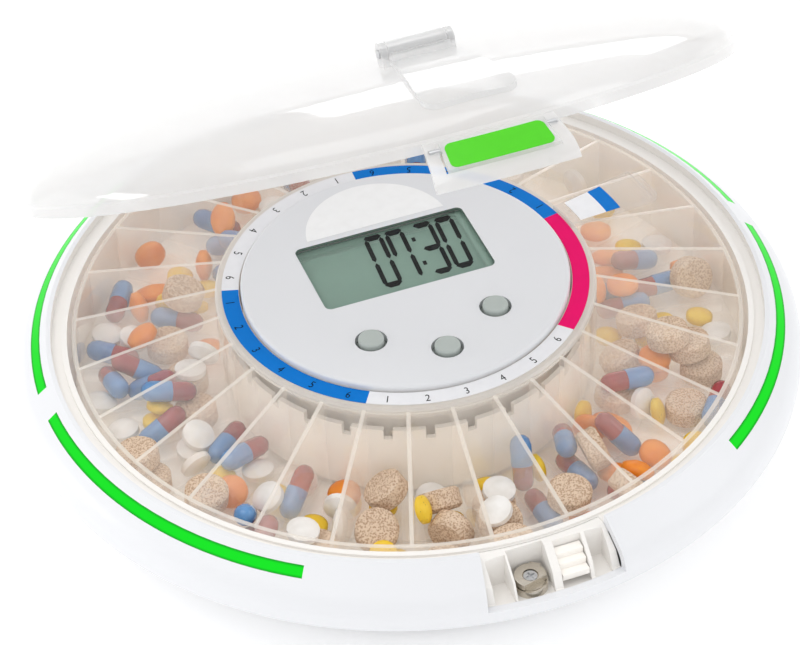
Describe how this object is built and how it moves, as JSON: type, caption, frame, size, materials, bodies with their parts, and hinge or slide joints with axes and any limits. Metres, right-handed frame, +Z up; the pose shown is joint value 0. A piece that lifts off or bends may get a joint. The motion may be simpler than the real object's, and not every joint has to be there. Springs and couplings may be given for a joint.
{
  "type": "automatic pill dispenser",
  "caption": "Round tabletop pill dispenser: a turning tray of radial compartments round a display hub, under a hinged clear dome lid with a dispensing door and a front latch.",
  "frame": {"origin": "centre of the base, on the surface the rubber feet stand on", "axes": "+Z up; -Y the front, where the lid latches; +Y the back, where the lid hinges; +X the display's right-hand side"},
  "size_m": [0.23, 0.23, 0.1565],
  "materials": {
    "white_shell": "moulded ABS, fine gloss",
    "white_inner": "moulded ABS",
    "clear_tray": "moulded clear styrene",
    "clear_lid": "moulded clear polycarbonate",
    "clear_lens": "clear acrylic",
    "lcd_glass": "liquid crystal glass",
    "button_grey": "soft-touch",
    "acetal": "acetal",
    "label_blue": "printed film",
    "label_white": "printed film",
    "label_magenta": "printed film",
    "label_green": "printed film",
    "light_green": "lit light guide",
    "circuit_board": "solder mask",
    "black_plastic": "moulded",
    "steel": "machined",
    "nickel": "nickel plate",
    "motor_can": "drawn steel",
    "cell_wrap": "shrink film",
    "rubber_foot": "moulded rubber"
  },
  "bodies": {
    "base": {"bottom_cover": "white_shell", "rubber_feet": "rubber_foot", "base_screws": "steel", "outer_shell": "white_shell", "hinge_pin": "steel", "light_arc_front_left": "light_green", "light_arc_front_right": "light_green", "light_arc_back_left": "light_green", "light_arc_back_right": "light_green", "light_boards": "circuit_board", "tray_deck": "white_inner", "battery_box": "white_inner", "batteries": "cell_wrap", "battery_contacts": "nickel", "pinion_axle": "steel", "motor_plate": "steel", "gearmotor": "motor_can", "hub_cover": "white_shell", "display_lens": "clear_lens", "display_glass": "lcd_glass", "display_frame": "white_inner", "main_board": "circuit_board", "switch_set": "black_plastic", "buzzer": "black_plastic", "tilt_sensor": "black_plastic", "latch_housing": "white_inner", "lock_barrel": "nickel"},
    "tray": {"tray_floor": "clear_tray", "tray_inner_wall": "clear_tray", "tray_outer_wall": "clear_tray", "tray_dividers": "clear_tray", "tray_gear_ring": "acetal", "dosage_ring": "clear_tray", "ring_label_blue": "label_blue", "ring_label_white": "label_white", "ring_label_magenta": "label_magenta", "ring_tab": "clear_lid", "ring_tab_label": "label_white"},
    "lid": {"lid_dome": "clear_lid", "press_pins": "steel", "door_pin": "steel"},
    "door": {"dispensing_door": "clear_lid"},
    "press": {"press_tab": "clear_lid", "press_label": "label_green"},
    "left_button": {"button_left": "button_grey"},
    "middle_button": {"button_middle": "button_grey"},
    "right_button": {"button_right": "button_grey"},
    "pinion": {"drive_pinion": "acetal"},
    "motor_drive": {"motor_gear": "acetal", "motor_shaft": "steel"},
    "lock": {"lock_plug": "nickel", "lock_cam": "nickel", "lock_screw": "steel"},
    "latch": {"latch_slider": "acetal", "latch_spring": "steel"},
    "battery_hatch": {"battery_door": "white_inner"}
  },
  "joints": [
    {"name": "tray_spin", "type": "hinge", "parent": "base", "child": "tray", "pos_m": [0, 0, 0.014], "axis": [0, 0, 1], "continuous": true},
    {"name": "pinion_spin", "type": "hinge", "parent": "base", "child": "pinion", "pos_m": [0, 0.0432, 0.02], "axis": [0, 0, 1], "continuous": true},
    {"name": "motor_spin", "type": "hinge", "parent": "base", "child": "motor_drive", "pos_m": [0, 0.0264, 0.02], "axis": [0, 0, 1], "continuous": true},
    {"name": "lid_hinge", "type": "hinge", "parent": "base", "child": "lid", "pos_m": [0, 0.102, 0.039], "axis": [-1, 0, 0], "range_deg": [-33.5, 46.5]},
    {"name": "door_hinge", "type": "hinge", "parent": "lid", "child": "door", "pos_m": [0, -0.01718, 0.14339], "axis": [-1, 0, 0], "range_deg": [0, 100]},
    {"name": "press_hinge", "type": "hinge", "parent": "lid", "child": "press", "pos_m": [0, -0.07279, 0.15201], "axis": [1, 0, 0], "range_deg": [0, 4], "stiffness_Nm_per_rad": 0.05},
    {"name": "left_button_press", "type": "slide", "parent": "base", "child": "left_button", "axis": [0, 0, -1], "range_m": [0, 0.001], "stiffness_N_per_m": 400},
    {"name": "middle_button_press", "type": "slide", "parent": "base", "child": "middle_button", "axis": [0, 0, -1], "range_m": [0, 0.001], "stiffness_N_per_m": 400},
    {"name": "right_button_press", "type": "slide", "parent": "base", "child": "right_button", "axis": [0, 0, -1], "range_m": [0, 0.001], "stiffness_N_per_m": 400},
    {"name": "lock_turn", "type": "hinge", "parent": "base", "child": "lock", "pos_m": [-0.0054, -0.1073, 0.0282], "axis": [0, 0, 1], "range_deg": [0, 90]},
    {"name": "latch_slide", "type": "slide", "parent": "base", "child": "latch", "axis": [0, 0, -1], "range_m": [0, 0.002], "stiffness_N_per_m": 150, "deforming": ["latch_spring"]},
    {"name": "battery_door_slide", "type": "slide", "parent": "base", "child": "battery_hatch", "axis": [0, 1, 0], "range_m": [0, 0.006]}
  ],
  "couplings": [
    {"joint": "pinion_spin", "follows": "tray_spin", "ratio": 7},
    {"joint": "motor_spin", "follows": "tray_spin", "ratio": -5.25}
  ]
}
